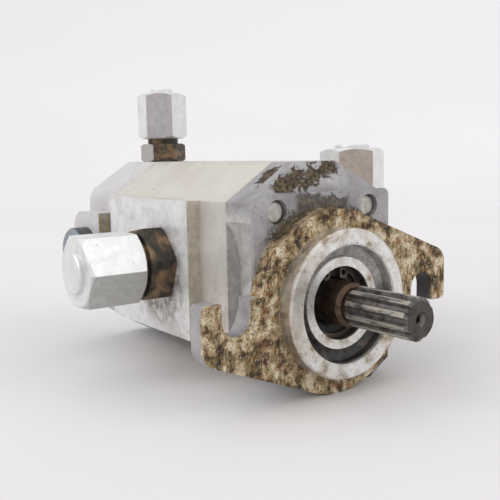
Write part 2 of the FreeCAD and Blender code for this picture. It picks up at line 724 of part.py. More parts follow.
def rear_side_plug():
    def at(x):
        return (-x, PLUG_Y, PLUG_Z)

    seat = BOSS_X - SPOT_DEPTH
    stud = rod(STUD_R, at(BOSS_X - PLUG_STUD_L), at(seat))
    neck = rod(STUD_NECK_R, at(seat - CUT), at(BOSS_X + CUT))
    head = turned(PLUG_HEAD, at(BOSS_X), (-1, 0, 0))
    socket = hexagon(PLUG_SOCKET_AF, at(BOSS_X - CUT), at(BOSS_X + 8 * CUT))
    return stud.fuse([neck, head]).removeSplitter().cut(socket)


def nodes():
    """Every sub-part by name."""
    front = (JOINT_Y, JOINT_Y + SEAL_T)
    rear = (BODY_END_Y - SEAL_T, BODY_END_Y)
    return {
        "front_cover": front_cover(),
        "pump_body": pump_body(),
        "rear_cover": rear_cover(),
        "drive_gear_shaft": drive_gear_shaft(),
        "driven_gear_shaft": driven_gear_shaft(),
        "front_bearing_block": bearing_block(True),
        "rear_bearing_block": bearing_block(False),
        "front_drive_bush": bush(True, 0.0),
        "front_driven_bush": bush(True, CENTRES),
        "rear_drive_bush": bush(False, 0.0),
        "rear_driven_bush": bush(False, CENTRES),
        "front_body_seal": eight_ring(*BODY_SEAL_R, *front),
        "rear_body_seal": eight_ring(*BODY_SEAL_R, *rear),
        "front_block_seal": eight_ring(*BLOCK_SEAL_R, *front),
        "rear_block_seal": eight_ring(*BLOCK_SEAL_R, *rear),
        "front_backup_rings": eight_ring(*BACKUP_R, *front),
        "rear_backup_rings": eight_ring(*BACKUP_R, *rear),
        "shaft_seal_case": seal_case(),
        "shaft_seal_lip": seal_lip(),
        "garter_spring": torus(SPRING_R, (0, SPRING_Y, 0), (0, 1, 0)),
        "retaining_ring": retaining_ring(),
        "through_bolts": through_bolts(),
        "bolt_washers": bolt_washers(),
        "dowel_pins": dowel_pins(),
        "left_port_adapter": left_port_adapter(),
        "left_port_oring": port_oring(-1),
        "left_cap_nut": left_cap_nut(),
        "right_port_elbow": right_port_elbow(),
        "right_elbow_locknut": right_elbow_locknut(),
        "right_elbow_washer": right_elbow_washer(),
        "right_port_oring": port_oring(1),
        "right_cap_nut": right_cap_nut(),
        "top_port_adapter": top_port_adapter(),
        "top_port_oring": torus(SMALL_RING, (0, TOP_FITTING_Y, TOP_Z - RING_LIFT), (0, 0, 1)),
        "top_cap_nut": top_cap_nut(),
        "rear_side_plug": rear_side_plug(),
        "rear_plug_seal": torus(SMALL_RING, (-BOSS_X + RING_LIFT, PLUG_Y, PLUG_Z), (1, 0, 0)),
    }


def main():
    os.makedirs("parts", exist_ok=True)
    for name, shape in nodes().items():
        print(name, len(shape.Solids), shape.isValid(), round(shape.Volume, 1))
        shape.exportStep("parts/%s.step" % name)


main()
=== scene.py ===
"""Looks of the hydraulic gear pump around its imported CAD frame. Metres, row frame, +Z up.

The drive shaft runs along Y through x = 0 and z = 0, and its splined end points toward -Y.
"""
import bmesh
import bpy
import json
import math
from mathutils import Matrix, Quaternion, Vector


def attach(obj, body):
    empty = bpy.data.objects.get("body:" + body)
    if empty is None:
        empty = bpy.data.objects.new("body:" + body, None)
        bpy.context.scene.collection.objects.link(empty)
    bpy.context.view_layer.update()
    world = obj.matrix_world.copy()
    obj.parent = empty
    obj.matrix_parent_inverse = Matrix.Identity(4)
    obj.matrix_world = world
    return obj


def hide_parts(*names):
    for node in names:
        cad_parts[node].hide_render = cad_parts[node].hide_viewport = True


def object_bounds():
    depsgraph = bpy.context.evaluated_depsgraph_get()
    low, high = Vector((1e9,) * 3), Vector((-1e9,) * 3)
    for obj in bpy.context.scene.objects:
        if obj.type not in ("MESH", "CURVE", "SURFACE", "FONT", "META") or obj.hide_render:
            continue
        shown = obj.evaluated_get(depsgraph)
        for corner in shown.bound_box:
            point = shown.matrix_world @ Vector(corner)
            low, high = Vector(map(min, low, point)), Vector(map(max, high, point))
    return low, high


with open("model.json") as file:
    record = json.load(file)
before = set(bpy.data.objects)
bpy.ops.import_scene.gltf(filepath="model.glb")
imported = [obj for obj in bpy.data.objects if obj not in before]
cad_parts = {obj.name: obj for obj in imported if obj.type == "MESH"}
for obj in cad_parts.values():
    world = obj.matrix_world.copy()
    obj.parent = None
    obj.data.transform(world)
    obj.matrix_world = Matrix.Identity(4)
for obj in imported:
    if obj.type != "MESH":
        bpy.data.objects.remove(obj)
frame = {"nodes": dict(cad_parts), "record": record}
CAD_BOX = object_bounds()
NODES = frame["nodes"]
BODY_OF = {n: body for body, names in frame["record"]["behaviour"]["bodies"].items() for n in names}
SLOT_OF = {s["node"]: s["material_slot"] for s in frame["record"]["subparts"]}
MM = 0.001

# Camera: where it stands, which way it looks, and its lens
CAMERA_AT = (-0.1694, -0.1863, 0.0508)
CAMERA_YAW = math.radians(35.57)
CAMERA_DOWN = math.radians(7.41)
CAMERA_ROLL = math.radians(1.12)
CAMERA_LENS = 54.38
SENSOR_WIDTH = 36.0

# Studio floor, in metres: how far it lies under the pump, its flat part, and the wall it rises to
FLOOR_GAP = 0.00005
FLOOR_INNER_R = 0.3
FLOOR_FLAT_R = 0.65
FLOOR_RISE_RUN = 1.15
FLOOR_RISE = 0.6
FLOOR_RINGS = 24
FLOOR_SECTORS = 96

# Places on the pump, in millimetres
PILOT_R = 25.4
PILOT_FACE_Y = -6.1
MOAT_IN_R = 15.6
MOAT_OUT_R = 20.0
SEAL_BORE_R = 12.5
SLOT_X = 41.275
BODY_HALF_WIDTH = 30.2
PAD_X = 35.6
PORT_Y = 59.5
PORT_Z = 10.4
LEFT_CAP_FACE_X = -68.3
SPLINE_END_Y = -8.0
SHAFT_END_Y = -36.6

# Upright hexagons, in millimetres: where the axis stands in x and y, and half the width over the flats
ELBOW_AXIS = (62.5, PORT_Y)
TOP_FITTING_AXIS = (0.0, 116.5)
SIDE_CAP_HALF = 12.25
TOP_CAP_HALF = 9.45
TOP_ADAPTER_HALF = 8.6

# How CAD facets are merged and edges rounded, in metres and degrees
MERGE_GAP = 2e-6
FLAT_ANGLE = 0.4
SHARP_ANGLE = 28.0
ROUNDING_STEPS = 3


# ------------------------------------------------------------ small node helpers

class Paint:
    """One node material, with short calls for the nodes that the finishes share.

    x, y and z are the place on the pump at rest, and r is the distance from the drive shaft's axis,
    all in metres.
    """

    def __init__(self, name, metallic=0.0, roughness=0.5, specular=0.5):
        self.material = bpy.data.materials.new(name)
        self.material.use_nodes = True
        self.tree = self.material.node_tree
        self.shader = self.tree.nodes["Principled BSDF"]
        self.shader.inputs["Metallic"].default_value = metallic
        self.shader.inputs["Roughness"].default_value = roughness
        self.shader.inputs["Specular IOR Level"].default_value = specular
        self.place = self.tree.nodes.new("ShaderNodeTexCoord").outputs["Object"]
        split = self.add("ShaderNodeSeparateXYZ", Vector=self.place)
        self.x, self.y, self.z = split.outputs
        self.r = self.radius(self.x, self.z)

    def add(self, kind, **inputs):
        made = self.tree.nodes.new(kind)
        for name, value in inputs.items():
            self.put(made.inputs[name], value)
        return made

    def put(self, socket, value):
        if isinstance(value, bpy.types.NodeSocket):
            self.tree.links.new(value, socket)
        else:
            socket.default_value = value

    def math(self, operation, a, b=0.0):
        made = self.tree.nodes.new("ShaderNodeMath")
        made.operation = operation
        self.put(made.inputs[0], a)
        self.put(made.inputs[1], b)
        return made.outputs[0]

    def plus(self, a, b):
        return self.math("ADD", a, b)

    def minus(self, a, b):
        return self.math("SUBTRACT", a, b)

    def times(self, a, b):
        return self.math("MULTIPLY", a, b)

    def most(self, a, b):
        """The larger of two values, so either of two masks."""
        return self.math("MAXIMUM", a, b)

    def radius(self, a, b):
        return self.math("SQRT", self.plus(self.times(a, a), self.times(b, b)))

    def step(self, value, low, high):
        """0 below low and 1 above high, smooth between; low above high turns it round."""
        made = self.tree.nodes.new("ShaderNodeMapRange")
        made.interpolation_type = "SMOOTHSTEP"
        low_high = (low, high, 0.0, 1.0)
        if low > high:
            low_high = (high, low, 1.0, 0.0)
        self.put(made.inputs[0], value)
        for socket, number in zip(made.inputs[1:5], low_high):
            socket.default_value = number
        return made.outputs[0]

    def past(self, value, start_mm, end_mm):
        """The same step between two places: 0 at start_mm and 1 from end_mm on, either way round."""
        return self.step(value, start_mm * MM, end_mm * MM)

    def all_of(self, *masks):
        result = masks[0]
        for mask in masks[1:]:
            result = self.times(result, mask)
        return result

    def noise(self, size_mm, detail=4.0, rough=0.55, warp=0.0, stretch=(1, 1, 1)):
        """Noise whose blotches are about size_mm across."""
        moved = self.add("ShaderNodeMapping", Vector=self.place, Scale=stretch)
        made = self.add("ShaderNodeTexNoise", Vector=moved.outputs[0], Scale=1.0 / (size_mm * MM),
                        Detail=detail, Roughness=rough, Distortion=warp)
        return made.outputs["Fac"]

    def ragged(self, noise, reach_mm):
        """Noise turned into a shift of up to half of reach_mm either way, to fray a mask's edge."""
        return self.times(self.minus(noise, 0.5), reach_mm * MM)

    def ramp(self, value, *stops):
        made = self.tree.nodes.new("ShaderNodeValToRGB")
        ends = made.color_ramp.elements
        while len(ends) < len(stops):
            ends.new(0.5)
        for end, (at, colour) in zip(ends, stops):
            end.position = at
            end.color = (*colour, 1.0)
        self.put(made.inputs[0], value)
        return made.outputs[0]

    def mix(self, mask, under, over):
        """Colour mix: under where the mask is 0 and over where it is 1."""
        made = self.tree.nodes.new("ShaderNodeMix")
        made.data_type = "RGBA"
        self.put(made.inputs[0], mask)
        for socket, colour in ((made.inputs[6], under), (made.inputs[7], over)):
            if isinstance(colour, tuple):
                colour = (*colour, 1.0)
            self.put(socket, colour)
        return made.outputs[2]

    def tint(self, mask, amount, under, over):
        """Colour mix with the mask weakened to amount."""
        return self.mix(self.times(mask, amount), under, over)

    def blend(self, mask, under, over):
        """Number mix."""
        made = self.tree.nodes.new("ShaderNodeMix")
        self.put(made.inputs[0], mask)
        self.put(made.inputs[2], under)
        self.put(made.inputs[3], over)
        return made.outputs[0]

    def speckle(self, colour, spot, size_mm, low, high, amount=1.0):
        """Specks of one size and colour over another colour."""
        spots = self.step(self.noise(size_mm, 2.0, 0.6), low, high)
        return self.tint(spots, amount, colour, spot)

    def finish(self, colour, height=None, depth_mm=0.1, rough=None, metal=None):
        self.put(self.shader.inputs["Base Color"], colour)
        if rough is not None:
            self.put(self.shader.inputs["Roughness"], rough)
        if metal is not None:
            self.put(self.shader.inputs["Metallic"], metal)
        if height is not None:
            bump = self.add("ShaderNodeBump", Height=height, Distance=depth_mm * MM, Strength=1.0)
            self.put(self.shader.inputs["Normal"], bump.outputs["Normal"])
        return self.material


# ------------------------------------------------------------ front cover

def corrosion_colour(p):
    """Mottled brown, tan, olive, orange and cream crust."""
    broad = p.noise(7.5, 3.0, 0.6, 0.4)
    fine = p.noise(1.9, 7.0, 0.72, 0.2, (1.0, 1.0, 0.6))
    tone = p.minus(p.plus(p.times(broad, 0.75), p.times(fine, 0.60)), 0.18)
    colour = p.ramp(tone,
                    (0.40, (0.040, 0.024, 0.014)),
                    (0.45, (0.15, 0.098, 0.048)),
                    (0.49, (0.33, 0.235, 0.125)),
                    (0.54, (0.50, 0.385, 0.225)),
                    (0.60, (0.72, 0.64, 0.48)))
    orange = p.step(p.noise(3.4, 6.0, 0.72, 0.3), 0.53, 0.62)
    colour = p.tint(orange, 0.6, colour, (0.33, 0.135, 0.045))
    olive = p.step(p.noise(4.6, 5.0, 0.7), 0.53, 0.62)
    colour = p.tint(olive, 0.5, colour, (0.24, 0.21, 0.085))
    colour = p.speckle(colour, (0.03, 0.02, 0.014), 0.8, 0.56, 0.64, 0.85)
    return p.speckle(colour, (0.72, 0.66, 0.52), 0.9, 0.60, 0.68, 0.6)


def crust_mask(p):
    """The front of the flange and the rim around the pilot, with a frayed edge."""
    y = p.plus(p.y, p.ragged(p.noise(5.0, 6.0, 0.7), 5.0))
    front = p.past(y, 2.6, 1.2)
    rim = p.all_of(p.past(p.r, 33.0, 31.5), p.past(y, 9.0, 6.5))
    return p.most(front, rim)


def roof_grime(p, patch):
    """Dirt in a slanting strip on the sloping roof and in the corner near its left bolt."""
    middle = p.plus(p.times(p.x, 0.27), 43.4 * MM)
    off_line = p.math("ABSOLUTE", p.minus(p.z, middle))
    x = p.plus(p.x, patch)
    strip = p.all_of(p.past(p.plus(off_line, patch), 2.9, 2.2), p.past(p.y, 13.5, 12.8),
                     p.past(p.z, 36.9, 37.6), p.past(x, 12.0, 9.0), p.past(x, -22.0, -19.0))
    corner = p.radius(p.plus(p.x, 17.5 * MM), p.minus(p.y, 14.5 * MM))
    corner = p.all_of(p.past(p.plus(corner, patch), 5.2, 4.0), p.past(p.z, 38.0, 39.0),
                      p.past(p.y, 13.0, 13.6))
    return p.most(strip, corner)


def face_grime(p, patch):
    """Dirt on the front face above the pilot: a ring at the hub's edge and a strip below the roof."""
    face = p.all_of(p.past(p.y, 9.5, 8.4), p.past(p.z, 20.0, 23.0))
    ring = p.all_of(p.past(p.plus(p.r, patch), 34.6, 33.0), p.past(p.r, 31.3, 31.6))
    z = p.plus(p.z, patch)
    strip = p.all_of(p.past(z, 36.0, 35.2), p.past(z, 31.5, 32.3),
                     p.past(p.x, 12.0, 9.0), p.past(p.x, -14.0, -11.0))
    return p.times(p.times(face, 0.8), p.most(ring, strip))


def low_grime(p):
    """Dirt behind the flange's face at the lower right."""
    low = p.all_of(p.past(p.z, -14.0, -18.0), p.step(p.noise(4.0, 5.0, 0.7), 0.36, 0.5))
    return p.all_of(low, p.past(p.y, 4.5, 5.8), p.past(p.x, 0.0, 9.0))


def grime_mask(p):
    """All of the cover's dark dirt, frayed by one noise."""
    patch = p.ragged(p.noise(5.0, 7.0, 0.75, 0.5), 16.0)
    grime = p.most(roof_grime(p, patch), face_grime(p, patch))
    return p.most(grime, low_grime(p))


def shade_recesses(p, colour):
    """Darken the right slot and the neck behind the flange; pale bare metal in the left hollow."""
    slot = p.radius(p.minus(p.x, SLOT_X * MM), p.z)
    slot = p.all_of(p.past(slot, 12.0, 6.1), p.past(p.y, 0.5, 1.0), p.past(p.y, 7.6, 7.4))
    colour = p.tint(slot, 0.8, colour, (0.05, 0.048, 0.045))

    neck = p.all_of(p.past(p.y, 7.4, 8.4), p.past(p.y, 22.2, 21.0),
                    p.past(p.radius(p.x, p.minus(p.z, 9.0 * MM)), 31.5, 28.0))
    colour = p.tint(neck, 0.4, colour, (0.06, 0.05, 0.045))

    hollow = p.all_of(p.past(p.y, 7.6, 8.0), p.past(p.x, -22.0, -24.0),
                      p.past(p.z, 33.0, 28.0), p.past(p.z, -16.0, -10.0))
    bare = p.ramp(p.noise(4.0), (0.35, (0.42, 0.41, 0.40)), (0.65, (0.60, 0.59, 0.575)))
    return p.mix(hollow, colour, bare)


def pilot_colour(p):
    """Bright turned metal with brown stains, duller toward the left edge."""
    bright = p.ramp(p.noise(5.0, 6.0, 0.62),
                    (0.34, (0.34, 0.27, 0.19)),
                    (0.43, (0.62, 0.58, 0.52)),
                    (0.58, (0.80, 0.79, 0.78)))
    bright = p.tint(p.past(p.x, -16.0, -23.0), 0.5, bright, (0.40, 0.35, 0.29))
    return p.speckle(bright, (0.20, 0.14, 0.09), 1.0, 0.60, 0.70, 0.6)


def groove_colour(p):
    """Soot in the groove's lower part and worn grey metal in its upper part."""
    soot = p.ramp(p.noise(5.0, 5.0, 0.65),
                  (0.36, (0.020, 0.018, 0.017)),
                  (0.56, (0.07, 0.065, 0.062)),
                  (0.70, (0.17, 0.10, 0.07)))
    worn = p.ramp(p.noise(4.0, 5.0, 0.65), (0.38, (0.27, 0.25, 0.245)), (0.62, (0.55, 0.53, 0.52)))
    return p.mix(p.past(p.z, -2.0, 8.0), soot, worn)


def cast_cover():
    """Front cover: grey casting, crusted flange, bright machined pilot, sooty groove and bore."""
    p = Paint("cast_cover", metallic=0.25, roughness=0.55)
    base = p.ramp(p.noise(9.0, 6.0, 0.6), (0.35, (0.28, 0.27, 0.275)), (0.65, (0.43, 0.42, 0.43)))
    base = p.speckle(base, (0.12, 0.10, 0.085), 1.2, 0.60, 0.72, 0.5)
    crust = corrosion_colour(p)
    crusted = crust_mask(p)
    colour = p.mix(crusted, base, crust)
    grime = grime_mask(p)
    dirt = p.ramp(p.noise(1.5, 6.0, 0.72),
                  (0.40, (0.028, 0.019, 0.014)),
                  (0.52, (0.085, 0.058, 0.034)),
                  (0.64, (0.21, 0.17, 0.085)))
    colour = shade_recesses(p, p.mix(grime, colour, dirt))

    disc = p.all_of(p.past(p.r, PILOT_R + 0.25, PILOT_R), p.past(p.y, 0.0, -0.4))
    wall = p.all_of(disc, p.past(p.r, PILOT_R - 0.5, PILOT_R - 0.1))
    stained = p.times(wall, p.step(p.noise(6.0, 5.0, 0.7), 0.40, 0.52))
    colour = p.mix(disc, colour, pilot_colour(p))
    colour = p.tint(stained, 0.4, colour, crust)
    groove = p.all_of(p.past(p.r, MOAT_IN_R - 0.1, MOAT_IN_R + 0.3),
                      p.past(p.r, MOAT_OUT_R + 0.25, MOAT_OUT_R - 0.1),
                      p.past(p.y, PILOT_FACE_Y + 0.6, PILOT_FACE_Y + 2.2))
    colour = p.mix(groove, colour, groove_colour(p))
    inside = p.all_of(p.past(p.r, SEAL_BORE_R + 0.4, SEAL_BORE_R + 0.1), p.past(p.y, -2.2, -0.6))
    colour = p.mix(inside, colour, (0.035, 0.028, 0.022))

    machined = p.most(p.minus(disc, p.most(groove, inside)), 0.0)
    dirty = p.most(p.minus(p.most(crusted, grime), disc), 0.0)
    rough = p.blend(machined, p.blend(dirty, 0.5, 0.9), 0.33)
    metal = p.blend(machined, p.blend(dirty, 0.35, 0.0), 0.75)
    grain = p.times(p.noise(1.3, 6.0, 0.65), 0.35)
    lumps = p.times(p.noise(2.4, 8.0, 0.72), p.blend(dirty, 0.35, 1.6))
    turning_marks = p.times(p.math("SINE", p.times(p.r, 9.0 / MM)), 0.04)
    height = p.blend(machined, p.plus(grain, lumps), turning_marks)
    return p.finish(colour, height, 0.42, rough, metal)


# ------------------------------------------------------------ body and rear cover

def rear_cast():
    """Rear cover: pale casting, stained olive on the ledge that shows left of the body."""
    p = Paint("cast_rear_cover", metallic=0.2, roughness=0.5)
    base = p.ramp(p.noise(12.0, 6.0, 0.6), (0.35, (0.55, 0.54, 0.535)), (0.65, (0.67, 0.66, 0.655)))
    base = p.speckle(base, (0.30, 0.28, 0.25), 1.6, 0.60, 0.74, 0.5)
    shelf = p.all_of(p.past(p.y, 105.2, 104.7), p.past(p.x, -30.0, -31.0))
    olive = p.ramp(p.noise(3.0, 4.0, 0.6), (0.4, (0.33, 0.29, 0.20)), (0.62, (0.48, 0.45, 0.36)))
    colour = p.mix(shelf, base, olive)
    height = p.plus(p.noise(1.1, 6.0, 0.65), p.times(p.noise(5.0, 4.0), 0.8))
    return p.finish(colour, height, 0.16, p.blend(p.noise(6.0), 0.42, 0.62))


def body_metal(p):
    """Warm drawn aluminium, cooler and brighter on the machined pads, creamy on the roof's slopes."""
    across = p.math("ABSOLUTE", p.x)
    warm = p.ramp(p.noise(16.0, 6.0, 0.6, 0.3),
                  (0.34, (0.53, 0.505, 0.47)),
                  (0.66, (0.66, 0.635, 0.60)))
    cool = p.ramp(p.noise(7.0, 8.0, 0.7, 0.5),
                  (0.32, (0.55, 0.55, 0.55)),
                  (0.5, (0.72, 0.715, 0.72)),
                  (0.68, (0.84, 0.84, 0.845)))
    colour = p.mix(p.past(across, PAD_X - 0.3, PAD_X - 0.05), warm, cool)
    slope = p.all_of(p.past(p.z, 33.5, 35.0), p.past(p.z, 47.0, 46.0))
    return p.tint(slope, 0.45, colour, (0.70, 0.66, 0.57))


def body_stains(p, colour):
    """Tan stains low at the front and on the pads' front edges, brown rings at the ports, dirty seams."""
    across = p.math("ABSOLUTE", p.x)
    flank = p.past(across, 29.0, 30.0)
    low_front = p.all_of(flank, p.past(p.y, 66.0, 34.0), p.past(p.z, 16.0, -4.0))
    low_front = p.times(low_front, p.step(p.noise(11.0, 6.0, 0.66, 0.8), 0.40, 0.62))
    pad_front = p.all_of(p.past(across, BODY_HALF_WIDTH, BODY_HALF_WIDTH + 0.6),
                         p.past(p.y, 38.5, 38.1))
    tan = p.ramp(p.noise(3.2, 6.0, 0.65), (0.36, (0.30, 0.23, 0.14)), (0.64, (0.58, 0.51, 0.40)))
    colour = p.tint(p.most(low_front, p.times(pad_front, 0.85)), 0.7, colour, tan)

    from_port = p.radius(p.minus(p.y, PORT_Y * MM), p.minus(p.z, 6.0 * MM))
    ring = p.all_of(flank, p.past(from_port, 21.0, 13.5),
                    p.step(p.noise(5.0, 6.0, 0.7, 0.5), 0.40, 0.58))
    colour = p.tint(ring, 0.75, colour, (0.17, 0.12, 0.07))

    seams = p.most(p.times(p.past(p.y, 22.8, 21.8), 0.3), p.past(p.y, 103.6, 104.4))
    seams = p.times(seams, p.step(p.noise(3.0, 5.0, 0.7), 0.42, 0.6))
    colour = p.tint(seams, 0.8, colour, (0.09, 0.075, 0.06))
    return p.speckle(colour, (0.30, 0.27, 0.22), 1.4, 0.63, 0.75, 0.55)


def extruded_body():
    """Drawn and machined aluminium with faint lines along the pump and a few dark stains."""
    p = Paint("extruded_body", metallic=0.35, roughness=0.42)
    colour = body_stains(p, body_metal(p))
    lines = p.noise(0.5, 3.0, 0.5, 0.0, (1, 0.02, 1))
    height = p.plus(p.times(lines, 0.6), p.times(p.noise(2.0, 7.0, 0.7), 0.7))
    return p.finish(colour, height, 0.09, p.blend(p.noise(5.0, 5.0), 0.32, 0.55))


# ------------------------------------------------------------ fittings, bolts, plug and shaft

def facet(p, axis_mm, bearing, half_mm):
    """Mask of one side of an upright hexagon, given its axis, the side's bearing and its distance."""
    bearing = math.radians(bearing)
    across = p.times(p.minus(p.x, axis_mm[0] * MM), math.cos(bearing))
    along = p.times(p.minus(p.y, axis_mm[1] * MM), math.sin(bearing))
    return p.past(p.plus(across, along), half_mm - 0.45, half_mm - 0.1)


# The masks below pick the sides of fittings that get painted shade and reflection (zinc cap nuts) and
# painted light (top adapter).
def left_cap_underside(p):
    """Mask of the left cap below its axis, up to its outer face."""
    below = p.past(p.z, PORT_Z + 0.2, PORT_Z - 0.2)
    return p.all_of(below, p.past(p.x, LEFT_CAP_FACE_X + 0.1, LEFT_CAP_FACE_X + 0.7))


def right_cap_side(p):
    return facet(p, ELBOW_AXIS, 235, SIDE_CAP_HALF)


def top_cap_side(p):
    return facet(p, TOP_FITTING_AXIS, 233, TOP_CAP_HALF)


def top_adapter_side(p):
    return facet(p, TOP_FITTING_AXIS, 183, TOP_ADAPTER_HALF)


def plated(name, shaded_side, shade_tone):
    """Bright zinc plate with cloudy patches and small pits; one side gets painted shade and reflection
    and is made rougher.
    """
    p = Paint(name, metallic=0.55, roughness=0.3)
    colour = p.ramp(p.noise(6.0, 7.0, 0.66, 0.5),
                    (0.32, (0.66, 0.67, 0.665)),
                    (0.62, (0.80, 0.81, 0.80)))
    colour = p.speckle(colour, (0.40, 0.36, 0.32), 1.3, 0.64, 0.74, 0.5)
    # Painted shade and reflection: the chosen side of the hexagon is darkened to the given tone, mottled.
    darker = tuple(0.8 * c for c in shade_tone)
    worn = p.ramp(p.noise(2.6, 6.0, 0.7), (0.36, darker), (0.62, shade_tone))
    side = shaded_side(p)
    colour = p.mix(side, colour, worn)
    height = p.plus(p.noise(1.8, 6.0, 0.65), p.times(p.noise(0.5, 3.0), 0.3))
    rough = p.blend(side, p.blend(p.noise(4.0, 5.0), 0.22, 0.44), 0.5)
    return p.finish(colour, height, 0.07, rough)


def oily_steel(name, lit_side=None):
    """Dark fitting steel under oil, with brown rust showing through and, if asked, painted light that
    makes one side pale.
    """
    p = Paint(name, metallic=0.45, roughness=0.45)
    colour = p.ramp(p.noise(7.0, 7.0, 0.64, 0.7),
                    (0.38, (0.030, 0.026, 0.019)),
                    (0.50, (0.062, 0.048, 0.034)),
                    (0.62, (0.24, 0.15, 0.08)))
    colour = p.speckle(colour, (0.22, 0.20, 0.13), 1.2, 0.62, 0.72, 0.5)
    if lit_side:
        # Painted light: the chosen side is made pale as if lit.
        colour = p.mix(lit_side(p), colour, (0.42, 0.40, 0.385))
    return p.finish(colour, p.noise(1.5, 8.0, 0.7), 0.16, p.blend(p.noise(3.0, 5.0), 0.3, 0.65))


def bolt_steel():
    """Black bolt steel, scuffed pale where the tips show at the front."""
    p = Paint("black_bolt", metallic=0.6, roughness=0.45)
    dark = p.ramp(p.noise(3.0, 6.0, 0.65), (0.36, (0.035, 0.033, 0.032)), (0.64, (0.12, 0.115, 0.11)))
    pale = p.ramp(p.noise(2.0, 6.0, 0.7), (0.36, (0.40, 0.37, 0.31)), (0.62, (0.66, 0.65, 0.61)))
    colour = p.mix(p.past(p.y, 12.0, 9.0), dark, pale)
    return p.finish(colour, p.noise(0.9, 6.0, 0.7), 0.12, p.blend(p.noise(2.5), 0.35, 0.6))


def plug_steel():
    """Blued plug, with painted shade darkening its side and painted light making its outer face paler."""
    p = Paint("blued_plug", metallic=0.6, roughness=0.38)
    side = p.ramp(p.noise(4.0, 6.0, 0.65), (0.36, (0.045, 0.048, 0.055)), (0.64, (0.11, 0.115, 0.13)))
    face = p.ramp(p.noise(3.0, 6.0, 0.65), (0.36, (0.17, 0.19, 0.22)), (0.64, (0.34, 0.37, 0.41)))
    # Painted shade on the side and painted light on the outer face.
    colour = p.mix(p.past(p.x, -44.3, -45.0), side, face)
    return p.finish(colour, p.noise(1.0, 6.0, 0.7), 0.08, p.blend(p.noise(3.0), 0.28, 0.5))


def shaft_steel():
    """Dark steel: worn bright on the spline crests, rust brown behind them, dark on the end face."""
    p = Paint("shaft_steel", metallic=0.75, roughness=0.38)
    colour = p.ramp(p.noise(3.5, 7.0, 0.66, 0.4),
                    (0.36, (0.065, 0.052, 0.046)),
                    (0.62, (0.21, 0.20, 0.195)))
    streaks = p.step(p.noise(2.2, 5.0, 0.6, 0.0, (1.0, 0.22, 1.0)), 0.40, 0.54)
    crest = p.all_of(p.past(p.y, SPLINE_END_Y, SPLINE_END_Y - 2.0), p.past(p.r, 6.55, 6.88), streaks)
    colour = p.tint(crest, 0.85, colour, (0.50, 0.46, 0.40))
    neck = p.all_of(p.past(p.y, 2.0, 0.5), p.past(p.y, SPLINE_END_Y - 2.5, SPLINE_END_Y - 0.5))
    brown = p.ramp(p.noise(2.0, 6.0, 0.7), (0.4, (0.055, 0.033, 0.024)), (0.6, (0.12, 0.075, 0.05)))
    colour = p.mix(neck, colour, brown)
    end_face = p.past(p.y, SHAFT_END_Y + 0.7, SHAFT_END_Y + 0.2)
    colour = p.tint(end_face, 0.75, colour, (0.05, 0.042, 0.034))
    lines = p.noise(0.35, 3.0, 0.5, 0.0, (1, 0.05, 1))
    height = p.plus(p.noise(0.9, 6.0, 0.7), p.times(lines, 0.5))
    return p.finish(colour, height, 0.06, p.blend(p.noise(2.5, 5.0), 0.28, 0.55))


def plain(name, low, high, size_mm, metallic, rough):
    """Two-tone mottled finish for small and inner parts."""
    p = Paint(name, metallic=metallic, roughness=rough)
    colour = p.ramp(p.noise(size_mm, 6.0, 0.62, 0.3), (0.35, low), (0.65, high))
    roughness = p.blend(p.noise(size_mm * 0.6, 5.0), rough * 0.8, min(1.0, rough * 1.25))
    return p.finish(colour, p.noise(size_mm * 0.3, 6.0, 0.65), 0.05, roughness)


# ------------------------------------------------------------ shapes from the frame

def smooth_object(work, name):
    """Turn a bmesh into a smooth-shaded object in the scene."""
    mesh = bpy.data.meshes.new(name)
    work.to_mesh(mesh)
    work.free()
    mesh.polygons.foreach_set("use_smooth", [True] * len(mesh.polygons))
    piece = bpy.data.objects.new(name, mesh)
    bpy.context.scene.collection.objects.link(piece)
    return piece


def refined(node, width_mm, material):
    """Copy of a CAD node with its facets merged, its sharp edges rounded and its finish on."""
    work = bmesh.new()
    work.from_mesh(NODES[node].data)
    bmesh.ops.remove_doubles(work, verts=work.verts, dist=MERGE_GAP)
    bmesh.ops.dissolve_limit(work, angle_limit=math.radians(FLAT_ANGLE), verts=work.verts,
                             edges=work.edges)
    piece = smooth_object(work, node + "_finished")
    bevel = piece.modifiers.new("rounded", "BEVEL")
    bevel.width = width_mm * MM
    bevel.segments = ROUNDING_STEPS
    bevel.limit_method = "ANGLE"
    bevel.angle_limit = math.radians(SHARP_ANGLE)
    bevel.miter_outer = "MITER_ARC"
    bevel.use_clamp_overlap = True
    normals = piece.modifiers.new("normals", "WEIGHTED_NORMAL")
    normals.keep_sharp = True
    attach(piece, BODY_OF[node])
    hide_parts(node)
    piece.data.materials.clear()
    piece.data.materials.append(material)


def paint_node(node, material):
    """Give a carried-over CAD node a better finish in each of its slots."""
    for place in NODES[node].material_slots:
        place.material = material


# ------------------------------------------------------------ stage, lights, camera

